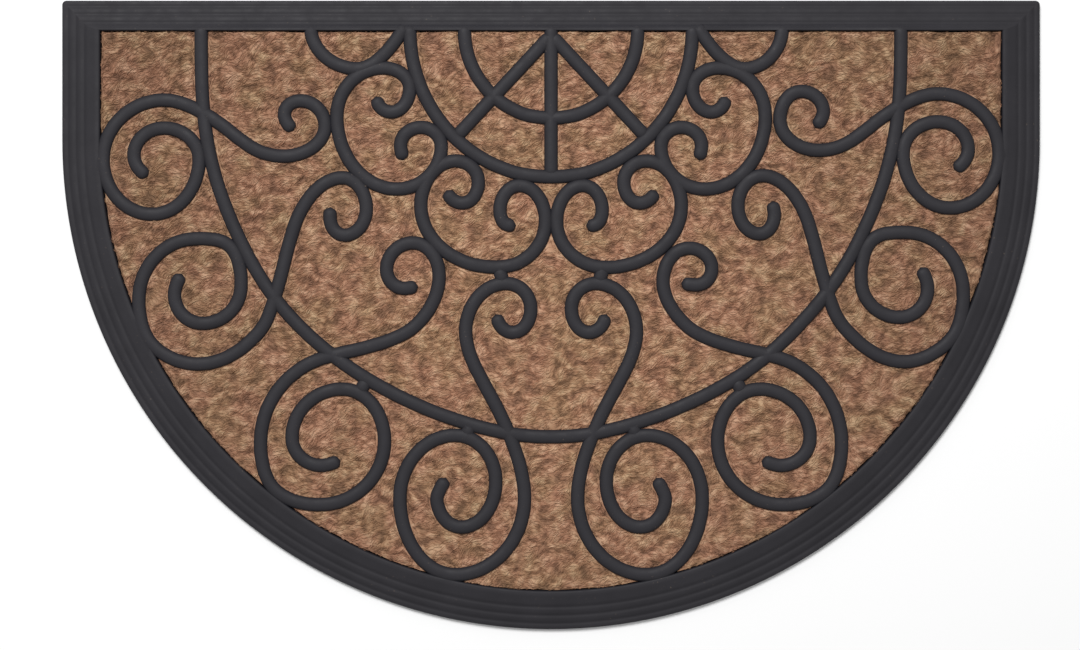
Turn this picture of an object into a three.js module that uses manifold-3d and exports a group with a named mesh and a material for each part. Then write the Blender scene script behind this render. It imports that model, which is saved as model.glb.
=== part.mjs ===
// Half-round doormat: a rubber moulding with a ribbed border and raised scrollwork, over a coir pad.
// Millimetres, +Z up. +X runs along the straight edge, +Y points at the straight edge.
import * as THREE from 'three';
import Module from 'manifold-3d';

// Outline of the mat: a half circle with short straight sides up to the straight edge
const MAT_WIDTH = 700;
const MAT_DEPTH = 450;
const HALF_WIDTH = MAT_WIDTH / 2;
const STRAIGHT_EDGE_Y = MAT_DEPTH / 2;
const ARC_CENTRE_Y = STRAIGHT_EDGE_Y - (MAT_DEPTH - HALF_WIDTH);
const ARC_STEPS = 40;
const CORNER_RADIUS = 3;
const SHARPEST_CORNER = 0.4;
const CORNER_STEPS = 2;

// Border of the rubber moulding: it slopes up inwards, with three grooves and a flat inner band.
// Along the straight edge its outer part with the grooves is as wide, and its inner part narrower.
const SHEET_THICKNESS = 2;
const BORDER_WIDTH = 28;
const TOP_BORDER_WIDTH = 22;
const GROOVED_WIDTH = 18;
const OUTER_WALL_Z = 3.2;
const OUTER_BEVEL = 0.8;
const BORDER_LOW_Z = 4;
const BORDER_HIGH_Z = 9.2;
const BAND_INSET = 24.5;
const BAND_BEVEL = 0.7;
const GROOVE_INSETS = [4.3, 10.2, 16.3];
const GROOVE_HALF_WIDTH = 1.1;
const GROOVE_DEPTH = 0.8;

// Raised bars of the scrollwork
const BAR_HALF_WIDTH = 4.9;
const BAR_SHOULDER = 3.8;
const BAR_UNDERSIDE_Z = 6.8;
const BAR_SHOULDER_Z = 9.1;
const BAR_TOP_Z = 10;
const BAR_SECTION = [
  { side: -BAR_HALF_WIDTH, z: BAR_UNDERSIDE_Z },
  { side: BAR_HALF_WIDTH, z: BAR_UNDERSIDE_Z },
  { side: BAR_SHOULDER, z: BAR_SHOULDER_Z },
  { side: 0, z: BAR_TOP_Z },
  { side: -BAR_SHOULDER, z: BAR_SHOULDER_Z },
];
// A free end narrows over these distances from its tip, as shares of the full width
const TIP_SHAPE = [
  { back: 0, share: 0.5 },
  { back: 2.2, share: 0.94 },
];
const CHORD_ERROR = 0.45;
const FEWEST_STEPS = 2;
const S_BEND_STEPS = 5;
const STRAIGHT_WITHIN = 0.001;

// Coir pad: it lies on the rubber sheet inside the border, with a channel under every bar
const GAP = 0.3;
const COIR_TOP_Z = 8;
const COIR_EDGE_BEVEL = 0.6;
const CUTTER_TOP_Z = 12;
const CHANNEL_FLOOR_Z = BAR_UNDERSIDE_Z - GAP;

// Where the bars that meet the border end, on its inner band
const BAR_END_Y = 207;

// Knots of the bars on one half. Columns: out from the mid line, y, heading in degrees.
// A bar between two knots is the quarter ellipse, or its part, that both headings touch.
const SCROLLS = {
  outer: [
    [288, 99, 30], [298, 114, 90], [276.5, 133.5, 180], [251.5, 111.5, 270], [285, 72, 0],
    [320, 111, 90], [276, 153.5, 180], [221.5, 125, 220], [191.5, 113.5, 180],
    [161.5, 135, 90], [179, 153, 0], [190.5, 143.5, 270], [184, 131.5, 225],
  ],
  side: [
    [264, 29.5, 300], [269, 14.5, 270], [249, -6, 180], [221.5, 21, 90], [226, 44.5, 60],
    [237, 53.2, 14], [253, 54.5, 0], [294.5, 11, 270], [284.5, -21.5, 225], [252, -35, 180],
    [205, -7, 125],
    [186, 55, 104], [149, 98, 180], [132, 76, 270], [147.5, 57, 0], [158, 70, 90], [157.5, 77, 94],
  ],
  lower: [
    [150.5, -104, 340], [164, -107.5, 0], [185, -87.5, 90], [149, -53, 180], [119, -90, 270],
    [165.5, -135.5, 0], [197.5, -124.5, 45], [207.5, -91, 90], [156.5, -29, 168],
    [100.5, -10.5, 142], [80, 28, 90], [98.5, 51.5, 0], [117.5, 32.5, 270], [104.5, 19, 180],
    [95, 20.5, 170],
  ],
  middle: [
    [75, -116.5, 300], [81.5, -130.5, 270], [64, -151.5, 180], [39.5, -119, 90], [68.5, -86, 0],
    [108, -131, 270], [68.5, -185.5, 180], [19, -130.5, 90], [49, -47, 60],
    [61, -12, 90], [32, 22.5, 180], [14.5, 4.5, 270], [27.5, -12.5, 0], [39.5, 0.5, 80],
  ],
  upperCurl: [
    [125.5, 156, 260], [114.5, 145, 180], [101, 162, 90], [120, 176.5, 0], [153, 142, 270],
    [110, 90, 180], [78.5, 120.5, 90], [93, 134, 0], [107.5, 121, 270], [105.5, 110.5, 255],
  ],
  innerCurl: [
    [75, 89, 250], [63, 80, 180], [52, 95, 90], [68, 110, 0], [93, 78, 270],
    [39, 34, 180], [4, 67, 90], [22.5, 92.5, 0], [36.5, 75, 270], [30, 64, 180], [25, 64, 172],
  ],
};
const ARCH = [
  [250, BAR_END_Y, 270], [249, 155, 267], [233.5, 80, 249], [196.5, 11, 232], [126.5, -48.5, 210],
  [36, -83.5, 192], [0, -87, 180],
];
// Short ties that close the narrow gap where two bars pass each other: out and y of both ends
const TIES = [
  { from: [38, 34.5], to: [33.5, 22.5] },
  { from: [61, -87.5], to: [57.5, -77] },
  { from: [137, -56], to: [131.5, -45.5] },
];

// Fan of two half ellipses and three spokes in the middle of the straight edge
const FAN_CENTRE_Y = 204;
const FAN_HALF_ELLIPSES = [{ out: 101, depth: 105.5 }, { out: 62, depth: 63.5 }];
const SPOKE_START = [0, 200];
const DIAGONAL_SPOKE_END = [68, 127];

// Bowl between the arch and the fan, its outer end nearer the middle on the right
const BOWL_BOTTOM = [138, 176, 180];
const BOWL_INNER_END = [104, BAR_END_Y, 120];

// Small volutes that lie otherwise on the right: these knots stand in for the last ones of their scrolls
const RIGHT_CURLS = {
  outer: [[163.5, 139, 90], [178.5, 157, 0], [194.5, 141, 270], [188.5, 130, 225]],
  side: [[151, 99.5, 180], [133.5, 78, 270], [149, 58, 0], [159.5, 71.5, 90], [158, 81, 102]],
  lower: [[80, 24, 90], [98.5, 47.7, 0], [114.8, 33.2, 270], [104, 21.5, 180], [93, 22.8, 170]],
};

// The right half is otherwise the left half mirrored, its outer scrolls a little nearer the straight edge
const SIDES = [
  { sign: -1, lift: 0, bowlOut: 172, curls: {} },
  { sign: 1, lift: 4.5, bowlOut: 165.5, curls: RIGHT_CURLS },
];
const LIFT_FROM = { out: 150, y: -60 };
const LIFT_FULL = { out: 200, y: 0 };

const wasm = await Module();
wasm.setup();

const radians = THREE.MathUtils.degToRad;

// A closed mesh as a solid that can be joined and cut
function solid(vertices, triangles) {
  const vertProperties = Float32Array.from(vertices.flat());
  const triVerts = Uint32Array.from(triangles.flat());
  return new wasm.Manifold(new wasm.Mesh({ numProp: 3, vertProperties, triVerts }));
}

// Stacks closed rings of equal length into a solid; both end rings are convex and get a fan
function stackRings(rings) {
  const count = rings[0].length;
  const vertices = rings.flat();
  const triangles = [];
  for (let ring = 0; ring < rings.length - 1; ring += 1) {
    for (let i = 0; i < count; i += 1) {
      const next = (i + 1) % count;
      const a = ring * count + i;
      const b = ring * count + next;
      triangles.push([a, b, b + count], [a, b + count, a + count]);
    }
  }
  const last = (rings.length - 1) * count;
  for (let i = 1; i < count - 1; i += 1) {
    triangles.push([0, i + 1, i], [last, last + i, last + i + 1]);
  }
  return solid(vertices, triangles);
}

// The mat's outline moved in by an inset, counter-clockwise; the straight edge's border is narrower
function outlineRing(inset, z) {
  const halfWidth = HALF_WIDTH - inset;
  const innerShare = THREE.MathUtils.clamp((inset - GROOVED_WIDTH) / (BORDER_WIDTH - GROOVED_WIDTH), 0, 1);
  const topY = STRAIGHT_EDGE_Y - inset + (BORDER_WIDTH - TOP_BORDER_WIDTH) * innerShare;
  const corner = Math.max(CORNER_RADIUS - inset, SHARPEST_CORNER);
  const ring = [];
  for (let i = 0; i <= ARC_STEPS; i += 1) {
    const angle = Math.PI + (Math.PI * i) / ARC_STEPS;
    ring.push([halfWidth * Math.cos(angle), ARC_CENTRE_Y + halfWidth * Math.sin(angle), z]);
  }
  for (const side of [1, -1]) {
    for (let i = 0; i <= CORNER_STEPS; i += 1) {
      const share = i / CORNER_STEPS;
      const angle = (Math.PI / 2) * (side > 0 ? share : 1 - share);
      const x = halfWidth - corner + corner * Math.cos(angle);
      ring.push([side * x, topY - corner + corner * Math.sin(angle), z]);
    }
  }
  return ring;
}

// Height of the sloping border at an inset, grooves left aside
function slopeZ(inset) {
  const share = Math.min(inset / BAND_INSET, 1);
  return BORDER_LOW_Z + (BORDER_HIGH_Z - BORDER_LOW_Z) * share;
}

// Base sheet and ribbed border as one solid
function borderedSheet() {
  const section = [
    { inset: 0, z: 0 },
    { inset: 0, z: OUTER_WALL_Z },
    { inset: OUTER_BEVEL, z: BORDER_LOW_Z },
  ];
  for (const inset of GROOVE_INSETS) {
    section.push({ inset: inset - GROOVE_HALF_WIDTH, z: slopeZ(inset - GROOVE_HALF_WIDTH) });
    section.push({ inset, z: slopeZ(inset) - GROOVE_DEPTH });
    section.push({ inset: inset + GROOVE_HALF_WIDTH, z: slopeZ(inset + GROOVE_HALF_WIDTH) });
  }
  section.push({ inset: BAND_INSET, z: BORDER_HIGH_Z });
  section.push({ inset: BORDER_WIDTH - BAND_BEVEL, z: BORDER_HIGH_Z });
  section.push({ inset: BORDER_WIDTH, z: BORDER_HIGH_Z - BAND_BEVEL });
  section.push({ inset: BORDER_WIDTH, z: SHEET_THICKNESS });
  return stackRings(section.map(({ inset, z }) => outlineRing(inset, z)));
}

// Knot of the table as a place and a heading on one side of the mat
function placeKnot([out, y, heading], side) {
  const { smoothstep } = THREE.MathUtils;
  const share = smoothstep(out, LIFT_FROM.out, LIFT_FULL.out) * smoothstep(y, LIFT_FROM.y, LIFT_FULL.y);
  const lift = y < BAR_END_Y ? side.lift * share : 0;
  return { x: side.sign * out, y: y + lift, heading: side.sign > 0 ? heading : 180 - heading };
}

// The same bar travelled the other way
function reversed(knots) {
  return knots.map((knot) => ({ ...knot, heading: knot.heading + 180 })).reverse();
}

// Cubic curve from one knot to the next, with the handles of a conic arc where the headings meet ahead
function joinKnots(from, to) {
  const start = new THREE.Vector2(from.x, from.y);
  const end = new THREE.Vector2(to.x, to.y);
  const ahead = new THREE.Vector2(1, 0).rotateAround(new THREE.Vector2(), radians(from.heading));
  const arriving = new THREE.Vector2(1, 0).rotateAround(new THREE.Vector2(), radians(to.heading));
  const chord = end.clone().sub(start);
  const turn = Math.abs(Math.asin(THREE.MathUtils.clamp(ahead.cross(arriving), -1, 1)));
  const straight = Math.abs(ahead.cross(chord)) + Math.abs(chord.cross(arriving)) < STRAIGHT_WITHIN;
  let startHandle = chord.length() / 3;
  let endHandle = startHandle;
  let steps = straight ? 1 : S_BEND_STEPS;
  const startTangent = chord.cross(arriving) / ahead.cross(arriving);
  const endTangent = ahead.cross(chord) / ahead.cross(arriving);
  if (!straight && startTangent > 0 && endTangent > 0 && Number.isFinite(startTangent)) {
    const arcShare = (4 / 3) * (Math.tan(turn / 4) / Math.tan(turn / 2));
    const radius = chord.length() / (2 * Math.sin(turn / 2));
    startHandle = arcShare * startTangent;
    endHandle = arcShare * endTangent;
    steps = Math.max(FEWEST_STEPS, Math.ceil(turn / (2 * Math.acos(1 - CHORD_ERROR / radius))));
  }
  const curve = new THREE.CubicBezierCurve(
    start,
    start.clone().addScaledVector(ahead, startHandle),
    end.clone().addScaledVector(arriving, -endHandle),
    end,
  );
  return { curve, steps };
}

// Centre-line of a bar: places with their headings
function centreLine(knots) {
  const stations = [];
  for (let i = 0; i < knots.length - 1; i += 1) {
    const { curve, steps } = joinKnots(knots[i], knots[i + 1]);
    for (let step = i === 0 ? 0 : 1; step <= steps; step += 1) {
      stations.push({ place: curve.getPoint(step / steps), ahead: curve.getTangent(step / steps), share: 1 });
    }
  }
  return stations;
}

// Replaces the last stretch of a centre-line by the narrowing stations of a rounded tip
function withTip(stations) {
  const tip = stations[stations.length - 1];
  const length = TIP_SHAPE[TIP_SHAPE.length - 1].back;
  const kept = stations.filter(({ place }) => place.distanceTo(tip.place) > length);
  const before = kept[kept.length - 1];
  const tips = [...TIP_SHAPE].reverse().map(({ back, share }) => {
    const along = back / before.place.distanceTo(tip.place);
    return {
      place: tip.place.clone().lerp(before.place, along),
      ahead: tip.ahead.clone().lerp(before.ahead, along).normalize(),
      share,
    };
  });
  return [...kept, ...tips];
}

// A bar swept along its stations, grown sideways and at its ends by a margin
function sweep(stations, section, margin) {
  const lastIndex = stations.length - 1;
  const rings = stations.map(({ place, ahead, share }, index) => {
    const end = (index === lastIndex ? margin : 0) - (index === 0 ? margin : 0);
    return section.map(({ side, z }) => {
      const across = side * share + Math.sign(side) * margin;
      const x = place.x + ahead.x * end - ahead.y * across;
      const y = place.y + ahead.y * end + ahead.x * across;
      return [x, y, z];
    });
  });
  return stackRings(rings);
}

// Stations of every bar of the scrollwork
function allBars() {
  const bars = [];
  for (const side of SIDES) {
    for (const [name, knots] of Object.entries(SCROLLS)) {
      const curl = side.curls[name] ?? [];
      const scroll = [...knots.slice(0, knots.length - curl.length), ...curl];
      const line = centreLine(scroll.map((knot) => placeKnot(knot, side)));
      const turned = withTip(line).reverse().map((s) => ({ ...s, ahead: s.ahead.clone().negate() }));
      bars.push(withTip(turned));
    }
    const bowl = [[side.bowlOut, BAR_END_Y, 270], BOWL_BOTTOM, BOWL_INNER_END];
    bars.push(centreLine(bowl.map((knot) => placeKnot(knot, side))));
    for (const { from, to } of [{ from: SPOKE_START, to: DIAGONAL_SPOKE_END }, ...TIES]) {
      const heading = THREE.MathUtils.radToDeg(Math.atan2(to[1] - from[1], to[0] - from[0]));
      const straight = [from, to].map(([out, y]) => placeKnot([out, y, heading], side));
      bars.push(centreLine(straight));
    }
  }
  const [left, right] = SIDES;
  const archRight = ARCH.map((knot) => placeKnot(knot, right));
  const archLeft = reversed(ARCH.map((knot) => placeKnot(knot, left)));
  bars.push(centreLine([...archRight, ...archLeft.slice(1)]));
  for (const { out, depth } of FAN_HALF_ELLIPSES) {
    bars.push(centreLine([
      { x: out, y: BAR_END_Y, heading: 270 },
      { x: out, y: FAN_CENTRE_Y, heading: 270 },
      { x: 0, y: FAN_CENTRE_Y - depth, heading: 180 },
      { x: -out, y: FAN_CENTRE_Y, heading: 90 },
      { x: -out, y: BAR_END_Y, heading: 90 },
    ]));
  }
  const spokeFoot = FAN_CENTRE_Y - FAN_HALF_ELLIPSES[0].depth;
  bars.push(centreLine([{ x: 0, y: BAR_END_Y, heading: 270 }, { x: 0, y: spokeFoot, heading: 270 }]));
  return bars;
}

// Rubber moulding: sheet, border and bars in one piece
function rubberMoulding(bars) {
  return bars.reduce((joined, bar) => joined.add(sweep(bar, BAR_SECTION, 0)), borderedSheet());
}

// Coir pad: one slab with the bars' channels pressed into it
function coirPad(bars) {
  const inset = BORDER_WIDTH + GAP;
  const slab = stackRings([
    outlineRing(inset, SHEET_THICKNESS + GAP),
    outlineRing(inset, COIR_TOP_Z - COIR_EDGE_BEVEL),
    outlineRing(inset + COIR_EDGE_BEVEL, COIR_TOP_Z),
  ]);
  const channel = [
    { side: -BAR_HALF_WIDTH, z: CHANNEL_FLOOR_Z },
    { side: BAR_HALF_WIDTH, z: CHANNEL_FLOOR_Z },
    { side: BAR_HALF_WIDTH, z: CUTTER_TOP_Z },
    { side: -BAR_HALF_WIDTH, z: CUTTER_TOP_Z },
  ];
  return bars.reduce((left, bar) => left.subtract(sweep(bar, channel, GAP)), slab);
}

// A solid as a named mesh of the scene
function toMesh(name, shape, material) {
  const { vertProperties, triVerts } = shape.getMesh();
  const geometry = new THREE.BufferGeometry();
  geometry.setAttribute('position', new THREE.BufferAttribute(vertProperties, 3));
  geometry.setIndex(new THREE.BufferAttribute(triVerts, 1));
  geometry.computeVertexNormals();
  const mesh = new THREE.Mesh(geometry, material);
  mesh.name = name;
  return mesh;
}

const rubber = new THREE.MeshStandardMaterial({ color: 0x3b3a3f, roughness: 0.6, metalness: 0 });
const coir = new THREE.MeshStandardMaterial({ color: 0x98755d, roughness: 0.95, metalness: 0 });

const bars = allBars();
const doormat = new THREE.Group();
doormat.name = 'half_round_doormat';
doormat.add(toMesh('rubber_moulding', rubberMoulding(bars), rubber));
doormat.add(toMesh('coir_pad', coirPad(bars), coir));

export default doormat;
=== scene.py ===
"""Half-round doormat: a fine rubber moulding, a matted coir pad and its loose fibres."""

import math

import bmesh
import bpy
from bpy.props import FloatProperty, FloatVectorProperty, IntProperty, PointerProperty
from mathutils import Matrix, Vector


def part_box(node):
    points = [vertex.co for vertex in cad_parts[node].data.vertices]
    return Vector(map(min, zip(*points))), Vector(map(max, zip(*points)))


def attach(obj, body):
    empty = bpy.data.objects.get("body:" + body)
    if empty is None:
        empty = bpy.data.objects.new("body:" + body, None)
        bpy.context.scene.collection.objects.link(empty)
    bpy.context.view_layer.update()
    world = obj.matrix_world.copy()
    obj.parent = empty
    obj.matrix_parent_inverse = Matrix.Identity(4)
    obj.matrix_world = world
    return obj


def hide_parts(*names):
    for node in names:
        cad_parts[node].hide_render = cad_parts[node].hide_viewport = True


bl_info = {
    "name": "Half-round coir doormat",
    "version": (1, 0, 0),
    "blender": (4, 5, 0),
    "location": "View3D > Sidebar > Doormat",
    "description": "Makes the rubber moulding, the coir and the stage of a half-round doormat",
    "category": "Mesh",
}

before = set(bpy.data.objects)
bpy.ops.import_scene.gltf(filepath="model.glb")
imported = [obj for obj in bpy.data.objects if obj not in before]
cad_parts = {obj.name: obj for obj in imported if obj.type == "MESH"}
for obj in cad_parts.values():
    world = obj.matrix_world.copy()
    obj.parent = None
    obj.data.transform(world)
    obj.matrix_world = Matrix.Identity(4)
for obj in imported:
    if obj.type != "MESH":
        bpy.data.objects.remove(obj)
bpy.context.view_layer.update()

# Outline of the mat and its border, read from the frame
RUBBER_LOW, RUBBER_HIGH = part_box("rubber_moulding")
COIR_LOW, COIR_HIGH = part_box("coir_pad")
HALF_WIDTH = RUBBER_HIGH.x
STRAIGHT_EDGE_Y = RUBBER_HIGH.y
ARC_CENTRE_Y = RUBBER_LOW.y + HALF_WIDTH
PIECE_GAP = 0.0003
COIR_INSET = HALF_WIDTH - COIR_HIGH.x
BORDER_WIDTH = COIR_INSET - PIECE_GAP
TOP_BORDER_WIDTH = STRAIGHT_EDGE_Y - COIR_HIGH.y - PIECE_GAP
SHEET_TOP_Z = COIR_LOW.z - PIECE_GAP
CORNER_RADIUS = 0.003
SHARPEST_CORNER = 0.0004
CORNER_STEPS = 5
ARC_STEPS = 180

# Section of the border: outer wall, sloping ribs with their grooves, flat inner band.
# Along the straight edge the grooved part is as wide, and the rest is narrower.
GROOVED_WIDTH = 0.018
OUTER_WALL_Z = 0.0032
OUTER_BEVEL = 0.0008
BEVEL_MIDDLE = 0.3
BORDER_LOW_Z = 0.004
BORDER_HIGH_Z = 0.0092
BAND_INSET = 0.0245
BAND_BEVEL = 0.0014
GROOVE_INSETS = (0.0043, 0.0102, 0.0163)
BORDER_STEPS = 48
BAND_EDGE_STEPS = 4

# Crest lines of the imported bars
MERGE_DISTANCE = 1e-5
CREST_TOLERANCE = 2e-5
CLOSEST_POINTS = 0.0016
SHORTEST_RUN = 0.003
STRAIGHT_THROUGH = -0.7
BAR_UNDERSIDE_Z = 0.0068
CROWN_POINTS = 13
CROWN_POWER = 0.95
SMALLEST_TIP = 0.06
SHARP_ANGLE = math.radians(38)

# Lines that the bars follow: points from one station to the next, the step of a line that keeps the
# coir clear, and the longest trim at each end of it as a share of its length
CURVE_STEPS = 12
LINE_STEP = 0.002
LONGEST_TRIM = 0.4

# Matted tufts of the coir: how much longer than wide, how far their rows wander, and the noise
# values between which a tuft rises
TUFT_STRETCH = 1.35
TUFT_WANDER = 0.012
TUFT_EDGES = (0.33, 0.67)

# The pad under its tufts, sunk under the bars and rounded at its edge
PAD_ARC_ROWS = 196
PAD_STRAIGHT_ROWS = 32
PAD_COLUMNS = 250
CLUMP_SIZE = 0.02
CLUMP_LEVEL = 0.6
CLUMP_SWING = 4.0
PRESS_OVERLAP = 0.0008
EDGE_ROUNDING = 0.003
EDGE_FULLNESS = 0.5
EDGE_WAVE_SIZE = 0.014
EDGE_REACH = 0.008

# Scatter of the fibres. Those on the bars or on a steep face are dropped again, hence the surplus.
# A face is measured by how far its normal rises.
SCATTER_SURPLUS = 1.25
FIBRE_GAP = 0.0002
STEEPEST_SCATTERED = 0.2
STEEPEST_KEPT = 0.55
LOWER_RISE = 0.0002
UPPER_RISE = 0.0005

# Lie of a fibre: its turns in radians, and the shares by which its size varies
SWIRL_SIZE = 0.012
SWIRL_TURN = 4.0
STRAY_TURN = 0.6
TILTS = (0.5, 0.08, 0.1)
LEVELLING = 1.2
COMBED_WIDTH = 0.004
LENGTH_SHARES = (0.6, 1.35)
WIDTH_SHARES = (0.65, 1.3)
SHORTEST_BESIDE = 0.4

# Fibre shapes: how far each bend stands aside and up, in widths of the fibre
SIMPLE_STRANDS = [((aside,), (0.3,)) for aside in (-1.6, -0.7, 0.7, 1.6)]
BOWED_STRANDS = [((near, far), (0.6, 0.5)) for near, far in (
    (1.5, 1.2), (-1.3, -1.6), (0.9, -0.8), (-0.7, 1.0), (0.4, 1.9), (-1.8, -0.5))]

# Tones of the coir, from 0 for the darkest to 1 for the palest, then its patches, rim and finish
PAD_TONE = 0.3
BASE_TONE = 0.225
FIBRE_TONE = 0.07
# Painted shade and highlight: how much darker the tufts' hollows and paler their tops are
TUFT_HEIGHT_SHADING = 0.50
# Painted shade on fibres beside a bar or the border: how far it reaches and how deep
EDGE_SHADE_WIDTH = 0.0035
EDGE_SHADE_DEPTH = 3.4
TONE_STOPS = (0.1, 0.5, 1.0)
PATCH_TUFTS = 2.5
PATCH_EDGES = (0.35, 0.65)
REDDER = (1.05, 0.97, 0.97)
YELLOWER = (0.99, 1.01, 0.93)
RIM_STRETCH = 0.6
RIM_EDGES = (0.25, 1.0)
RIM_SHADES = (1.04, 0.82)
COIR_ROUGHNESS = 0.82
COIR_SHINE = 0.25
COIR_GRAIN_FIBRES = 2
COIR_RELIEF = (0.3, 0.0003)

# Finish of the rubber. A slope is measured by how far its normal rises.
MOTTLE_SIZE = 0.03
MOTTLE_SHADES = (0.75, 1.25)
# Painted shade on the steep flanks, and crests paler partly from wear and partly as a painted highlight
FLANK_SHADE_SLOPES = (0.94, 0.5)
CREST_SLOPES = (0.85, 1.0)
CREST_LOW_Z = BORDER_HIGH_Z + 0.0001
CREST_PATCH_SIZE = 0.012
CREST_PATCH_SHADES = (0.2, 1.0)
WEAR_AND_HIGHLIGHT_SHARE = 0.7
SPECK_SIZE = 0.0016
SPECK_EDGES = (0.70, 0.78)
DUSTY_SIZE = 0.03
DUSTY_EDGES = (0.45, 0.7)
DUST_SHARE = 0.45
POLISH_SIZE = 0.008
RUBBER_ROUGHNESS = (0.5, 0.66)
RUBBER_SHINE = 0.16
RUBBER_RELIEF = (0.35, 0.0002)

# Grain and noise: how much larger the coarse grain is, how strong the fine one, the noise values
# between which slow patches change, and the middle of all noise
COARSER = 6.0
FINE_SHARE = 0.6
SLOW_EDGES = (0.3, 0.7)
NOISE_MIDDLE = 0.5
WHITE = (1.0, 1.0, 1.0)


class MouldingSettings(bpy.types.PropertyGroup):
    """Sizes and colours of the rubber moulding."""

    groove_depth: FloatProperty(
        name="Groove depth", description="Depth of the border's grooves", default=0.0006, unit="LENGTH")
    groove_width: FloatProperty(
        name="Groove width", description="Half the width of a groove", default=0.0014, unit="LENGTH")
    bar_half_width: FloatProperty(
        name="Bar half width", description="Half the width of a bar at its foot",
        default=0.0049, unit="LENGTH")
    bar_height: FloatProperty(
        name="Bar height", description="Height of a bar above its underside",
        default=RUBBER_HIGH.z - BAR_UNDERSIDE_Z, unit="LENGTH")
    bar_step: FloatProperty(
        name="Bar step", description="Distance between two sections along a bar",
        default=0.0016, unit="LENGTH")
    rubber_colour: FloatVectorProperty(
        name="Rubber colour", description="Dark slate of clean rubber",
        default=(0.0275, 0.0262, 0.0302), subtype="COLOR")
    # Painted shade: the colour of the steep flanks, darkened where shade falls
    flank_shade_colour: FloatVectorProperty(
        name="Crease colour", description="Unworn rubber on steep flanks",
        default=(0.0195, 0.0192, 0.0245), subtype="COLOR")
    # Paler crests: partly real wear, partly a painted highlight
    wear_and_highlight_colour: FloatVectorProperty(
        name="Worn colour", description="Rubber that feet have polished pale",
        default=(0.030, 0.029, 0.034), subtype="COLOR")
    dust_colour: FloatVectorProperty(
        name="Dust colour", description="Coir dust that lies on the rubber",
        default=(0.30, 0.22, 0.16), subtype="COLOR")
    grain_size: FloatProperty(
        name="Grain size", description="Size of the rubber's grain", default=0.0007, unit="LENGTH")


class CoirSettings(bpy.types.PropertyGroup):
    """Sizes and colours of the coir pad and its fibres."""

    tuft_size: FloatProperty(
        name="Tuft size", description="Width of a matted tuft, which is a little longer",
        default=0.0072, unit="LENGTH")
    tuft_height: FloatProperty(
        name="Tuft height", description="How far the tufts stand above the hollows",
        default=0.0016, unit="LENGTH")
    clump_height: FloatProperty(
        name="Clump height", description="How far the pad rises and sinks under the tufts",
        default=0.0006, unit="LENGTH")
    draw_back: FloatProperty(
        name="Draw back", description="Gap between the coir's edge and the border",
        default=0.0, unit="LENGTH")
    edge_wander: FloatProperty(
        name="Edge wander", description="How far the coir's edge wanders further in",
        default=0.0010, unit="LENGTH")
    press_width: FloatProperty(
        name="Press width", description="Width over which a bar presses the coir down",
        default=0.0042, unit="LENGTH")
    fibre_length: FloatProperty(
        name="Fibre length", description="Length of a loose fibre", default=0.0062, unit="LENGTH")
    fibre_width: FloatProperty(
        name="Fibre width", description="Thickness of a loose fibre", default=0.00052, unit="LENGTH")
    lower_count: IntProperty(
        name="Lower fibres", description="Fibres in each half of the lower layer", default=30000)
    upper_count: IntProperty(
        name="Upper fibres", description="Fibres in each half of the upper layer", default=15000)
    # Dark coir is also the painted shade of the tufts' hollows
    dark_colour: FloatVectorProperty(
        name="Dark coir", description="Brown of the hollows and dark fibres",
        default=(0.120, 0.064, 0.040), subtype="COLOR")
    middle_colour: FloatVectorProperty(
        name="Middle coir", description="Tan of most fibres",
        default=(0.382, 0.2145, 0.131), subtype="COLOR")
    light_colour: FloatVectorProperty(
        name="Light coir", description="Straw of the palest fibres",
        default=(0.675, 0.482, 0.322), subtype="COLOR")
    seed: IntProperty(
        name="Seed", description="Seed of the scattering", default=7)


class StageSettings(bpy.types.PropertyGroup):
    """Camera, floor and light."""

    view_width: FloatProperty(
        name="View width", description="Width of floor that the camera sees", default=0.7749, unit="LENGTH")
    camera_height: FloatProperty(
        name="Camera height", description="Height of the camera above the floor",
        default=1.6, unit="LENGTH")
    floor_colour: FloatVectorProperty(
        name="Floor colour", description="Plain pale floor", default=(0.97, 0.97, 0.97), subtype="COLOR")
    sky_strength: FloatProperty(
        name="Sky strength", description="Strength of the even light all round", default=0.43)
    lamp_power: FloatProperty(
        name="Lamp power", description="Power of the soft lamp", default=76.0, unit="POWER")


# Trees and materials


def feed(tree, socket, value):
    """Links an input to another node's output, or sets its value."""
    if isinstance(value, bpy.types.NodeSocket):
        tree.links.new(value, socket)
    else:
        socket.default_value = value


def add(tree, kind, inputs=None, **settings):
    """Adds a node with its settings, and feeds its inputs by name or number."""
    node = tree.nodes.new(kind)
    for name, value in settings.items():
        setattr(node, name, value)
    for key, value in (inputs or {}).items():
        feed(tree, node.inputs[key], value)
    return node


def made(tree, kind, inputs=None, **settings):
    """The first output of a new node."""
    return add(tree, kind, inputs, **settings).outputs[0]


def identified(sockets):
    """Sockets by their identifiers, for nodes with several sockets of one name."""
    return {socket.identifier: socket for socket in sockets}


def maths(tree, operation, *values, clamp=False):
    """A Math node's result."""
    return made(tree, "ShaderNodeMath", dict(enumerate(values)), operation=operation, use_clamp=clamp)


def plus(tree, first, second):
    """Two numbers added."""
    return maths(tree, "ADD", first, second)


def minus(tree, first, second):
    """The first number less the second."""
    return maths(tree, "SUBTRACT", first, second)


def times(tree, first, second):
    """Two numbers multiplied."""
    return maths(tree, "MULTIPLY", first, second)


def vector_maths(tree, operation, *values):
    """A Vector Math node's result."""
    node = add(tree, "ShaderNodeVectorMath", dict(enumerate(values)), operation=operation)
    return node.outputs["Value" if operation in {"DOT_PRODUCT", "LENGTH"} else "Vector"]


def scaled(tree, vector, factor):
    """A vector times a number."""
    return made(tree, "ShaderNodeVectorMath", {"Vector": vector, "Scale": factor}, operation="SCALE")


def blended(tree, share, first, second):
    """A vector that goes from the first to the second as a share goes from 0 to 1."""
    return vector_maths(tree, "ADD", scaled(tree, first, minus(tree, 1.0, share)),
                        scaled(tree, second, share))


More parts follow.
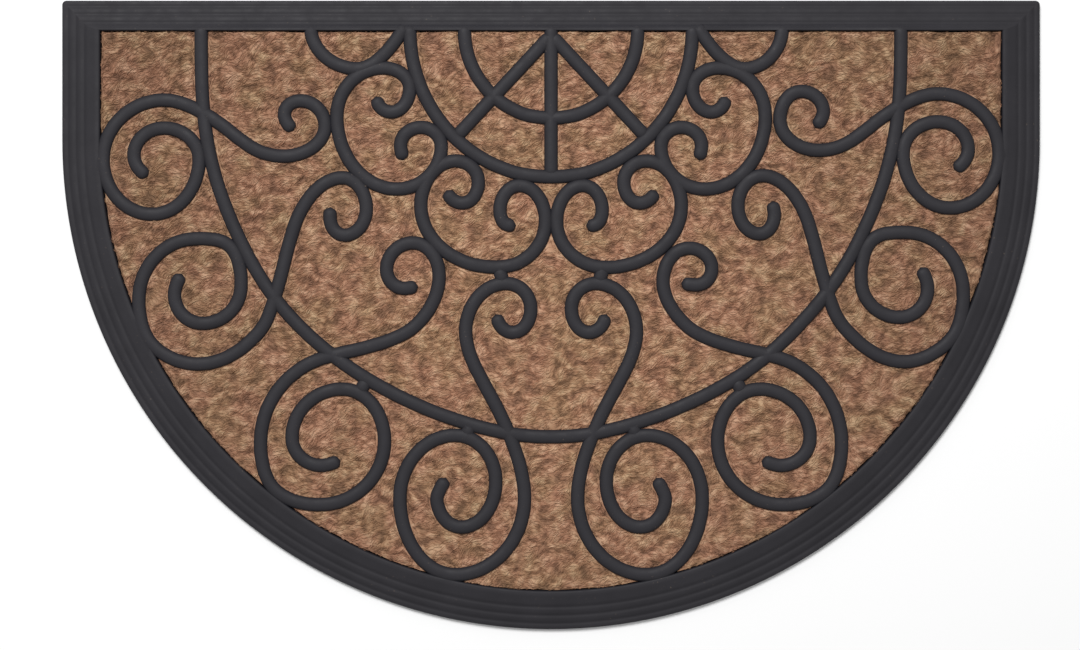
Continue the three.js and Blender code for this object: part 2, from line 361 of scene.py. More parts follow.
def split(tree, vector):
    """The X, Y and Z of a vector."""
    return add(tree, "ShaderNodeSeparateXYZ", {0: vector}).outputs


def combined(tree, x=0.0, y=0.0, z=0.0):
    """A vector from its X, Y and Z."""
    return made(tree, "ShaderNodeCombineXYZ", {0: x, 1: y, 2: z})


def ranged(tree, value, low, high, new_low=0.0, new_high=1.0, smooth=False):
    """A value mapped from one range to another, and held inside it."""
    inputs = {"Value": value, "From Min": low, "From Max": high, "To Min": new_low, "To Max": new_high}
    kind = "SMOOTHSTEP" if smooth else "LINEAR"
    return made(tree, "ShaderNodeMapRange", inputs, interpolation_type=kind)


def noise(tree, place, size, detail=2.0, roughness=0.5):
    """Noise from 0 to 1 with features of a size in metres."""
    inputs = {"Vector": place, "Scale": maths(tree, "DIVIDE", 1.0, size), "Detail": detail,
              "Roughness": roughness}
    return made(tree, "ShaderNodeTexNoise", inputs)


def slow_patches(tree, place, size, low=0.0, high=1.0, detail=3.0):
    """Patches of a size that go slowly between two values."""
    return ranged(tree, noise(tree, place, size, detail), *SLOW_EDGES, low, high)


def mix_colours(tree, factor, first, second, blend="MIX"):
    """Two colours mixed."""
    node = add(tree, "ShaderNodeMix", data_type="RGBA", blend_type=blend)
    sockets = identified(node.inputs)
    for name, value in (("Factor_Float", factor), ("A_Color", first), ("B_Color", second)):
        feed(tree, sockets[name], value)
    return identified(node.outputs)["Result_Color"]


def tinted(tree, colour, tint):
    """A colour times another colour or a shade."""
    return mix_colours(tree, 1.0, colour, tint, "MULTIPLY")


def rgba(colour):
    """A colour with full alpha."""
    return (*colour, 1.0)


def new_tree(name, kind, inputs, outputs):
    """A node tree with inputs and outputs by name and kind, and the sockets of its two end nodes."""
    tree = bpy.data.node_groups.new(name, kind)
    for in_out, sockets in (("INPUT", inputs), ("OUTPUT", outputs)):
        for label, socket_kind in sockets.items():
            tree.interface.new_socket(label, in_out=in_out, socket_type="NodeSocket" + socket_kind)
    return tree, tree.nodes.new("NodeGroupInput").outputs, tree.nodes.new("NodeGroupOutput").inputs


def mesh_tree(name, objects, numbers, others=None):
    """A Geometry Nodes tree for a modifier: objects, numbers and a material in, a mesh out."""
    inputs = {"Geometry": "Geometry", **dict.fromkeys(objects, "Object"), **(others or {}),
              **dict.fromkeys(numbers, "Float"), "Material": "Material"}
    return new_tree(name, "GeometryNodeTree", inputs, {"Geometry": "Geometry"})


def finish_tree(tree, geometry, start, end):
    """Ends a tree in one real mesh with its material."""
    geometry = made(tree, "GeometryNodeRealizeInstances", {"Geometry": geometry})
    geometry = made(tree, "GeometryNodeSetMaterial", {"Geometry": geometry, "Material": start["Material"]})
    tree.links.new(geometry, end["Geometry"])
    return tree


def place_group(tree, group, inputs):
    """The outputs of a node group that is placed in a tree with its own values."""
    kind = "ShaderNodeGroup" if tree.type == "SHADER" else "GeometryNodeGroup"
    return add(tree, kind, inputs, node_tree=group).outputs


def shared_group(name, make):
    """A node group that several pieces use, made when the first of them asks for it."""
    return bpy.data.node_groups.get(name) or make()


def run_tree(piece, tree, inputs):
    """Runs a Geometry Nodes tree on a piece, and leaves its result as the piece's plain mesh."""
    modifier = piece.modifiers.new(tree.name, "NODES")
    modifier.node_group = tree
    sockets = {s.name: s.identifier for s in tree.interface.items_tree if s.in_out == "INPUT"}
    for name, value in inputs.items():
        modifier[sockets[name]] = value
    piece.update_tag()
    bpy.context.view_layer.update()
    evaluated = piece.evaluated_get(bpy.context.evaluated_depsgraph_get())
    mesh = bpy.data.meshes.new_from_object(evaluated)
    piece.modifiers.remove(modifier)
    old = piece.data
    piece.data = mesh
    bpy.data.meshes.remove(old)
    mesh.name = piece.name
    if not mesh.polygons:
        raise RuntimeError(f"{piece.name}: {tree.name} made no faces")


def new_piece(name, data=None):
    """An object in the scene with its mesh, lamp or camera, or else an empty mesh of its own."""
    piece = bpy.data.objects.new(name, data or bpy.data.meshes.new(name))
    bpy.context.scene.collection.objects.link(piece)
    return piece


def remove_piece(piece):
    """Takes a helper object and its mesh away again."""
    mesh = piece.data
    bpy.data.objects.remove(piece)
    bpy.data.meshes.remove(mesh)


def mesh_from(name, building):
    """A finished mesh from the one that was being built."""
    mesh = bpy.data.meshes.new(name)
    building.to_mesh(mesh)
    building.free()
    return mesh


def band(building, lower, upper):
    """Faces all round between two rings with as many corners."""
    for i in range(len(lower)):
        j = (i + 1) % len(lower)
        building.faces.new((lower[i], lower[j], upper[j], upper[i]))


def new_material(name):
    """A material with its tree, its shader and the object's own coordinates."""
    material = bpy.data.materials.new(name)
    material.use_nodes = True
    tree = material.node_tree
    shader = tree.nodes["Principled BSDF"]
    place = add(tree, "ShaderNodeTexCoord").outputs["Object"]
    return material, tree, shader, place


def feed_shader(tree, shader, colour, roughness, shine):
    """Gives a shader its colour, its roughness and how strongly it shines."""
    inputs = {"Base Color": colour, "Roughness": roughness, "Specular IOR Level": shine}
    for name, value in inputs.items():
        feed(tree, shader.inputs[name], value)


def raise_grain(tree, shader, grain, place, size, strength, depth):
    """Gives a shader the relief of a grain of a size, a strength and a depth."""
    height = place_group(tree, grain, {"Place": place, "Size": size})["Height"]
    bump = add(tree, "ShaderNodeBump", {"Height": height, "Strength": strength, "Distance": depth})
    tree.links.new(bump.outputs["Normal"], shader.inputs["Normal"])


def grain_group():
    """Height of a fine grain with a coarser one under it, used by rubber and coir."""
    tree, start, end = new_tree("Grain", "ShaderNodeTree", {"Place": "Vector", "Size": "Float"},
                                {"Height": "Float"})
    fine = noise(tree, start["Place"], start["Size"], detail=3.0, roughness=0.6)
    coarse = noise(tree, start["Place"], times(tree, start["Size"], COARSER))
    tree.links.new(plus(tree, times(tree, fine, FINE_SHARE), coarse), end["Height"])
    return tree


def tuft_group(kind):
    """Matted tufts, lying mostly along the straight edge: 0 in a hollow, 1 on top."""
    tree, start, end = new_tree("Tufts", kind, {"Place": "Vector", "Size": "Float"}, {"Height": "Float"})
    spot = split(tree, start["Place"])
    flat = combined(tree, spot["X"], spot["Y"])
    bend = minus(tree, noise(tree, flat, TUFT_WANDER, detail=1.0), NOISE_MIDDLE)
    wavy = plus(tree, spot["Y"], times(tree, bend, TUFT_WANDER))
    stretched = combined(tree, maths(tree, "DIVIDE", spot["X"], TUFT_STRETCH), wavy)
    value = noise(tree, stretched, start["Size"], detail=1.5)
    tree.links.new(ranged(tree, value, *TUFT_EDGES), end["Height"])
    return tree


def coir_colour_group(tufts):
    """Colour of coir: tan fibres with painted shade in the tufts' hollows and a painted highlight on their
    tops, redder in places and darker to the rim.
    """
    inputs = {"Place": "Vector", "Tone": "Float", "Tuft Size": "Float", "Dark": "Color",
              "Middle": "Color", "Light": "Color"}
    tree, start, end = new_tree("Coir colour", "ShaderNodeTree", inputs, {"Colour": "Color"})
    place = start["Place"]
    tuft = place_group(tree, tufts, {"Place": place, "Size": start["Tuft Size"]})["Height"]
    # A fibre's own tone, plus painted shade in the tufts' hollows and a painted highlight on their tops
    tone = plus(tree, times(tree, start["Tone"], FIBRE_TONE), times(tree, tuft, TUFT_HEIGHT_SHADING))
    tone = plus(tree, tone, BASE_TONE)
    colour = mix_colours(tree, ranged(tree, tone, *TONE_STOPS[:2]), start["Dark"], start["Middle"])
    colour = mix_colours(tree, ranged(tree, tone, *TONE_STOPS[1:]), colour, start["Light"])
    # Redder and yellower patches, a few tufts across
    patches = noise(tree, place, times(tree, start["Tuft Size"], PATCH_TUFTS), detail=1.0)
    redder, yellower = (tinted(tree, colour, rgba(tint)) for tint in (REDDER, YELLOWER))
    colour = mix_colours(tree, ranged(tree, patches, *PATCH_EDGES), redder, yellower)
    # Darker towards the rim
    reach = (1 / HALF_WIDTH, RIM_STRETCH / STRAIGHT_EDGE_Y, 0)
    off_middle = vector_maths(tree, "LENGTH", vector_maths(tree, "MULTIPLY", place, reach))
    colour = tinted(tree, colour, ranged(tree, off_middle, *RIM_EDGES, *RIM_SHADES))
    tree.links.new(colour, end["Colour"])
    return tree


def rubber_material(settings, grain):
    """Matt slate rubber with painted shade on its steep flanks, crests made paler by wear and a painted
    highlight, a fine grain and specks of coir dust.
    """
    material, tree, shader, place = new_material("Rubber")
    mottle = noise(tree, place, MOTTLE_SIZE, detail=4.0, roughness=0.6)
    colour = tinted(tree, rgba(settings.rubber_colour), ranged(tree, mottle, 0.0, 1.0, *MOTTLE_SHADES))
    # Painted shade darkens the steep flanks, and the crests are paler, partly from wear and partly as a
    # painted highlight
    slope = split(tree, add(tree, "ShaderNodeNewGeometry").outputs["Normal"])["Z"]
    flank_shade = ranged(tree, slope, *FLANK_SHADE_SLOPES, smooth=True)
    colour = mix_colours(tree, flank_shade, colour, rgba(settings.flank_shade_colour))
    high = ranged(tree, split(tree, place)["Z"], CREST_LOW_Z, RUBBER_HIGH.z)
    crest = times(tree, high, ranged(tree, slope, *CREST_SLOPES, smooth=True))
    wear_and_highlight = times(tree, crest, slow_patches(tree, place, CREST_PATCH_SIZE, *CREST_PATCH_SHADES))
    colour = mix_colours(tree, times(tree, wear_and_highlight, WEAR_AND_HIGHLIGHT_SHARE), colour, rgba(settings.wear_and_highlight_colour))
    # Dust lies as specks in a few dusty places
    specks = ranged(tree, noise(tree, place, SPECK_SIZE), *SPECK_EDGES)
    dust = times(tree, specks, ranged(tree, noise(tree, place, DUSTY_SIZE), *DUSTY_EDGES))
    colour = mix_colours(tree, times(tree, dust, DUST_SHARE), colour, rgba(settings.dust_colour))
    roughness = slow_patches(tree, place, POLISH_SIZE, *RUBBER_ROUGHNESS, detail=4.0)
    feed_shader(tree, shader, colour, roughness, RUBBER_SHINE)
    raise_grain(tree, shader, grain, place, settings.grain_size, *RUBBER_RELIEF)
    return material


def coir_material(settings, name, tone_name, grain, colours):
    """Coir with its tone from a stored attribute, or the same tone all over where none is named."""
    material, tree, shader, place = new_material(name)
    tone = PAD_TONE
    if tone_name:
        tone = add(tree, "ShaderNodeAttribute", attribute_name=tone_name).outputs["Fac"]
    inputs = {"Place": place, "Tone": tone, "Tuft Size": settings.tuft_size,
              "Dark": rgba(settings.dark_colour), "Middle": rgba(settings.middle_colour),
              "Light": rgba(settings.light_colour)}
    colour = place_group(tree, colours, inputs)["Colour"]
    feed_shader(tree, shader, colour, COIR_ROUGHNESS, COIR_SHINE)
    grain_size = settings.fibre_width * COIR_GRAIN_FIBRES
    raise_grain(tree, shader, grain, place, grain_size, *COIR_RELIEF)
    return material


# Shapes


def outline(inset):
    """The mat's outline moved in by an inset, counter-clockwise, as places on the floor."""
    half_width = HALF_WIDTH - inset
    inner_share = min(max((inset - GROOVED_WIDTH) / (BORDER_WIDTH - GROOVED_WIDTH), 0.0), 1.0)
    top = STRAIGHT_EDGE_Y - inset + (BORDER_WIDTH - TOP_BORDER_WIDTH) * inner_share
    corner = max(CORNER_RADIUS - inset, SHARPEST_CORNER)
    places = []
    for step in range(ARC_STEPS + 1):
        angle = math.pi * (1 + step / ARC_STEPS)
        places.append((half_width * math.cos(angle), ARC_CENTRE_Y + half_width * math.sin(angle)))
    for side in (1, -1):
        for step in range(CORNER_STEPS + 1):
            share = step / CORNER_STEPS
            angle = math.pi / 2 * (share if side > 0 else 1 - share)
            x = half_width - corner + corner * math.cos(angle)
            places.append((side * x, top - corner + corner * math.sin(angle)))
    return places


def border_section(settings):
    """Insets and heights of the border, from its foot outside to the sheet inside."""
    bevel = OUTER_BEVEL * BEVEL_MIDDLE
    section = [(0.0, 0.0), (0.0, OUTER_WALL_Z), (bevel, BORDER_LOW_Z - bevel)]
    for step in range(BORDER_STEPS + 1):
        inset = OUTER_BEVEL + (BAND_INSET - OUTER_BEVEL) * step / BORDER_STEPS
        height = BORDER_LOW_Z + (BORDER_HIGH_Z - BORDER_LOW_Z) * inset / BAND_INSET
        for groove in GROOVE_INSETS:
            height -= settings.groove_depth * math.exp(-((inset - groove) / settings.groove_width) ** 2)
        section.append((inset, height))
    for step in range(BAND_EDGE_STEPS + 1):
        angle = math.pi / 2 * step / BAND_EDGE_STEPS
        section.append((BORDER_WIDTH - BAND_BEVEL * (1 - math.sin(angle)),
                        BORDER_HIGH_Z - BAND_BEVEL * (1 - math.cos(angle))))
    return section + [(BORDER_WIDTH, SHEET_TOP_Z)]


def border_mesh(settings):
    """Base sheet with its sloping, grooved border, closed."""
    building = bmesh.new()
    rings = [[building.verts.new((x, y, height)) for x, y in outline(inset)]
             for inset, height in border_section(settings)]
    for lower, upper in zip(rings, rings[1:]):
        band(building, lower, upper)
    building.faces.new(reversed(rings[0]))
    building.faces.new(rings[-1])
    return mesh_from("Border", building)


def straight_pairs(at_vertex):
    """Which edge goes straight on from another, by that edge and the vertex where they meet."""
    partner = {}
    for vertex, meeting in at_vertex.items():
        pairs = []
        for i, first in enumerate(meeting):
            for second in meeting[i + 1:]:
                ways = [(e.other_vert(vertex).co - vertex.co).normalized() for e in (first, second)]
                pairs.append((ways[0].dot(ways[1]), i, first, second))
        for straightness, _, first, second in sorted(pairs, key=lambda pair: pair[:2]):
            taken = (first, vertex) in partner or (second, vertex) in partner
            if not taken and (straightness < STRAIGHT_THROUGH or len(meeting) == 2):
                partner[first, vertex] = second
                partner[second, vertex] = first
    return partner


def crest_runs():
    """Centre-lines of the bars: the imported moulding's crest edges, chained through their crossings."""
    mesh = bmesh.new()
    mesh.from_mesh(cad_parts["rubber_moulding"].data)
    bmesh.ops.remove_doubles(mesh, verts=mesh.verts, dist=MERGE_DISTANCE)
    lowest = RUBBER_HIGH.z - CREST_TOLERANCE
    edges = [e for e in mesh.edges if all(v.co.z > lowest for v in e.verts)]
    at_vertex = {}
    for edge in edges:
        for vertex in edge.verts:
            at_vertex.setdefault(vertex, []).append(edge)
    partner = straight_pairs(at_vertex)
    runs = []
    left = dict.fromkeys(edges)
    while left:
        starts = (e for e in left if any((e, v) not in partner for v in e.verts))
        edge = next(starts, next(iter(left)))
        vertex = next((v for v in edge.verts if (edge, v) not in partner), edge.verts[0])
        run = [vertex]
        while edge in left:
            del left[edge]
            vertex = edge.other_vert(vertex)
            run.append(vertex)
            edge = partner.get((edge, vertex))
        crossings = [len(at_vertex[v]) > 2 for v in run]
        places = thinned([v.co.copy() for v in run], crossings)
        if sum((b - a).length for a, b in zip(places, places[1:])) > SHORTEST_RUN:
            runs.append(places)
    mesh.free()
    return runs


def thinned(places, crossings):
    """A run without its crossings and crowded places, which aren't stations of the bar. Its ends stay."""
    kept = [places[0]]
    for place, crossing in zip(places[1:-1], crossings[1:-1]):
        clear = min((place - kept[-1]).length, (place - places[-1]).length) > CLOSEST_POINTS
        if clear and not crossing:
            kept.append(place)
    return kept + [places[-1]]


def centre_line_piece():
    """The bars' centre-lines as a helper object of edges, at the height of the bars' undersides."""
    vertices = []
    edges = []
    for run in crest_runs():
        for i, place in enumerate(run):
            if i:
                edges.append((len(vertices) - 1, len(vertices)))
            vertices.append((place.x, place.y, BAR_UNDERSIDE_Z))
    mesh = bpy.data.meshes.new("Centre_Lines")
    mesh.from_pydata(vertices, edges, [])
    return new_piece("Centre_Lines", mesh)


def smooth_lines_tree():
    """Rounds a run of edges into a smooth curve with even steps."""
    tree, start, end = new_tree("Smooth lines", "GeometryNodeTree",
                                {"Geometry": "Geometry", "Step": "Float"}, {"Curve": "Geometry"})
    curve = made(tree, "GeometryNodeMeshToCurve", {"Mesh": start["Geometry"]})
    curve = made(tree, "GeometryNodeCurveSplineType", {"Curve": curve}, spline_type="BEZIER")
    curve = made(tree, "GeometryNodeCurveSetHandles", {"Curve": curve}, handle_type="AUTO",
                 mode={"LEFT", "RIGHT"})
    curve = made(tree, "GeometryNodeSetSplineResolution", {"Geometry": curve, "Resolution": CURVE_STEPS})
    curve = made(tree, "GeometryNodeResampleCurve", {"Curve": curve, "Length": start["Step"]},
                 mode="LENGTH")
    tree.links.new(curve, end["Curve"])
    return tree


def object_geometry(tree, piece):
    """The geometry of another object."""
    return add(tree, "GeometryNodeObjectInfo", {"Object": piece}).outputs["Geometry"]


def bars_tree(smooth_lines):
    """Sweeps the bars along their centre-lines and joins them with the border into one body."""
    tree, start, end = mesh_tree("Bars on a border", ["Border"], ["Half Width", "Height", "Step"])
    curve = place_group(tree, smooth_lines, {"Geometry": start["Geometry"], "Step": start["Step"]})["Curve"]
    curve = made(tree, "GeometryNodeSetCurveNormal", {"Curve": curve}, mode="Z_UP")
    # Section: half an ellipse with slightly fuller flanks, flat side down once the sweep has turned it
    arc = made(tree, "GeometryNodeCurveArc", {"Resolution": CROWN_POINTS, "Radius": 1.0,
                                              "Start Angle": 0.0, "Sweep Angle": math.pi})
    spot = split(tree, made(tree, "GeometryNodeInputPosition"))
    side = maths(tree, "POWER", maths(tree, "ABSOLUTE", spot["X"]), CROWN_POWER)
    side = times(tree, times(tree, side, maths(tree, "SIGN", spot["X"])), start["Half Width"])
    shape = scaled(tree, combined(tree, side, times(tree, spot["Y"], start["Height"])), -1.0)
    arc = made(tree, "GeometryNodeSetPosition", {"Geometry": arc, "Position": shape})
    arc = made(tree, "GeometryNodeSetSplineCyclic", {"Geometry": arc, "Cyclic": True})
    # Free ends round off over half a width
    along = add(tree, "GeometryNodeSplineParameter").outputs["Length"]
    length = made(tree, "GeometryNodeSplineLength")
    near_end = maths(tree, "MINIMUM", along, minus(tree, length, along))
    short = maths(tree, "SUBTRACT", 1.0, maths(tree, "DIVIDE", near_end, start["Half Width"]), clamp=True)
    rounding = maths(tree, "SQRT", minus(tree, 1.0, times(tree, short, short)))
    rounding = maths(tree, "MAXIMUM", rounding, SMALLEST_TIP)
    bars = made(tree, "GeometryNodeCurveToMesh", {"Curve": curve, "Profile Curve": arc,
                                                  "Scale": rounding, "Fill Caps": True})
    island = made(tree, "GeometryNodeInputMeshIsland")
    bars = made(tree, "GeometryNodeSplitToInstances", {"Geometry": bars, "Group ID": island},
                domain="FACE")
    union = add(tree, "GeometryNodeMeshBoolean", operation="UNION", solver="MANIFOLD")
    for body in (bars, object_geometry(tree, start["Border"])):
        tree.links.new(body, union.inputs["Mesh 2"])
    result = made(tree, "GeometryNodeSetShadeSmooth", {"Geometry": union.outputs["Mesh"]})
    return finish_tree(tree, result, start, end)


def pad_mesh():
    """Flat slab of coir inside the border: rows across the mat, each as wide as the outline there."""
    half_width = COIR_HIGH.x
    rows = []
    for step in range(1, PAD_ARC_ROWS + 1):
        angle = math.pi / 2 * step / PAD_ARC_ROWS
        rows.append((half_width * math.sin(angle), ARC_CENTRE_Y - half_width * math.cos(angle)))
    for step in range(1, PAD_STRAIGHT_ROWS + 1):
        rows.append((half_width, ARC_CENTRE_Y + (COIR_HIGH.y - ARC_CENTRE_Y) * step / PAD_STRAIGHT_ROWS))
    building = bmesh.new()
    grid = []
    for reach, y in rows:
        grid.append([building.verts.new((reach * (2 * i / PAD_COLUMNS - 1), y, COIR_HIGH.z))
                     for i in range(PAD_COLUMNS + 1)])
    for low, high in zip(grid, grid[1:]):
        for i in range(PAD_COLUMNS):
            building.faces.new((low[i], low[i + 1], high[i + 1], high[i]))
    rim = (grid[0] + [row[-1] for row in grid[1:]] + grid[-1][-2::-1]
           + [row[0] for row in grid[-2:0:-1]])
    foot = [building.verts.new((v.co.x, v.co.y, COIR_LOW.z)) for v in rim]
    band(building, foot, rim)
    building.faces.new(reversed(foot))
    return mesh_from("Coir_Pad", building)


def bar_distance(tree, smooth_lines, bars, half_width, place):
    """Distance from a place to the nearest centre-line of a bar, the nearest place on that line, and
    the first place at the line's height, where it's measured from."""
    lines = {"Geometry": object_geometry(tree, bars), "Step": LINE_STEP}
    curve = place_group(tree, smooth_lines, lines)["Curve"]
    # Each line stops short of the bar's rounded end by half a width, or by less on a short tie
    length = made(tree, "GeometryNodeSplineLength")
    short = maths(tree, "MINIMUM", half_width, times(tree, length, LONGEST_TRIM))
    trimmed = add(tree, "GeometryNodeTrimCurve", {"Curve": curve}, mode="LENGTH")
    ends = identified(trimmed.inputs)
    feed(tree, ends["Start_001"], short)
    feed(tree, ends["End_001"], minus(tree, length, short))
    edges = made(tree, "GeometryNodeCurveToMesh", {"Curve": trimmed.outputs["Curve"]})
    spot = split(tree, place)
    level = combined(tree, spot["X"], spot["Y"], BAR_UNDERSIDE_Z)
    near = add(tree, "GeometryNodeProximity", {0: edges, "Source Position": level}, target_element="EDGES")
    return near.outputs["Distance"], near.outputs["Position"], level


def border_gap_tree():
    """Distance from a place to the pad's outline along the border, and the way towards it."""
    tree, start, end = new_tree("Border gap", "GeometryNodeTree", {"Place": "Vector"},
                                {"Gap": "Float", "Outward": "Vector"})
    spot = split(tree, start["Place"])
    below = maths(tree, "MINIMUM", minus(tree, spot["Y"], ARC_CENTRE_Y), 0.0)
    spoke = combined(tree, spot["X"], below)
    side_gap = minus(tree, COIR_HIGH.x, vector_maths(tree, "LENGTH", spoke))
    top_gap = minus(tree, COIR_HIGH.y, spot["Y"])
    at_top = maths(tree, "LESS_THAN", top_gap, side_gap)
    outward = blended(tree, at_top, vector_maths(tree, "NORMALIZE", spoke), (0, 1, 0))
    tree.links.new(maths(tree, "MINIMUM", side_gap, top_gap), end["Gap"])
    tree.links.new(outward, end["Outward"])
    return tree


def edge_distance(tree, place, draw_back, wander):
    """How far the coir's edge has drawn back from the border beside a place."""
    drift = slow_patches(tree, place, EDGE_WAVE_SIZE)
    return plus(tree, draw_back, times(tree, drift, wander))


def pad_tree(smooth_lines, border_gap, tufts):
    """Mats the pad's top: tufts, a press under every bar, and an edge that wanders."""
    tree, start, end = mesh_tree("Matted coir", ["Bars"], [
        "Bar Half Width", "Press Width", "Tuft Size", "Tuft Height", "Clump Height", "Draw Back",
        "Edge Wander"])
    half_width = start["Bar Half Width"]
    place = made(tree, "GeometryNodeInputPosition")
    distance, _, level = bar_distance(tree, smooth_lines, start["Bars"], half_width, place)
    on_top = maths(tree, "GREATER_THAN", split(tree, place)["Z"], (COIR_LOW.z + COIR_HIGH.z) / 2)
    tuft = place_group(tree, tufts, {"Place": level, "Size": start["Tuft Size"]})["Height"]
    tuft = times(tree, minus(tree, tuft, 1.0), start["Tuft Height"])
    clump = times(tree, minus(tree, noise(tree, level, CLUMP_SIZE), CLUMP_LEVEL), CLUMP_SWING)
    lift = plus(tree, tuft, times(tree, clump, start["Clump Height"]))
    # Sunk under the bars, and rounded down to its edge
    free = ranged(tree, distance, minus(tree, half_width, PRESS_OVERLAP),
                  plus(tree, half_width, start["Press Width"]), smooth=True)
    border = place_group(tree, border_gap, {"Place": level})
    full = ranged(tree, border["Gap"], 0.0, EDGE_ROUNDING, EDGE_FULLNESS, 1.0, smooth=True)
    free = times(tree, free, full)
    sunk = ranged(tree, free, 0.0, 1.0, BAR_UNDERSIDE_Z - PIECE_GAP - COIR_HIGH.z, 0.0)
    offset = times(tree, plus(tree, times(tree, lift, free), sunk), on_top)
    # The edge draws back as far as it wanders there, and takes the coir beside it along
    back = edge_distance(tree, level, start["Draw Back"], start["Edge Wander"])
    pull = times(tree, back, ranged(tree, border["Gap"], 0.0, EDGE_REACH, -1.0, 0.0))
    move = vector_maths(tree, "ADD", scaled(tree, border["Outward"], pull), combined(tree, z=offset))
    result = made(tree, "GeometryNodeSetPosition", {"Geometry": start["Geometry"], "Offset": move})
    result = made(tree, "GeometryNodeSetShadeSmooth", {"Geometry": result})
    return finish_tree(tree, result, start, end)


def strand(name, bends, lifts):
    """A fibre of unit length and thickness along X: pointed ends and a three-sided ring at each bend."""
    building = bmesh.new()
    tips = [building.verts.new((x, 0, 0)) for x in (-0.5, 0.5)]
    angles = [math.pi / 2 + math.tau * corner / 3 for corner in range(3)]
    rings = []
    for i, (bend, lift) in enumerate(zip(bends, lifts)):
        x = (i + 1) / (len(bends) + 1) - 0.5
        rings.append([building.verts.new((x, bend + 0.5 * math.cos(a), lift + 0.5 * math.sin(a)))
                      for a in angles])
    for i in range(3):
        j = (i + 1) % 3
        building.faces.new((tips[0], rings[0][j], rings[0][i]))
        building.faces.new((tips[1], rings[-1][i], rings[-1][j]))
    for near, far in zip(rings, rings[1:]):
        band(building, near, far)
    bmesh.ops.recalc_face_normals(building, faces=building.faces)
    return bpy.data.objects.new(name, mesh_from(name, building))


def strand_collection(name, shapes):
    """Fibre shapes to pick from, kept out of the scene."""
    collection = bpy.data.collections.new(name)
    for number, (bends, lifts) in enumerate(shapes):
        collection.objects.link(strand(f"{name}_{number}", bends, lifts))
    return collection


def chance(tree, low, high, seed):
    """A random number between two others, for each fibre."""
    return add(tree, "FunctionNodeRandomValue", {2: low, 3: high, "Seed": seed}).outputs[1]


def stored(tree, geometry, name, value, domain):
    """A geometry with a number stored on its points or instances under a name."""
    return made(tree, "GeometryNodeStoreNamedAttribute", {"Geometry": geometry, "Name": name,
                                                          "Value": value},
                data_type="FLOAT", domain=domain)


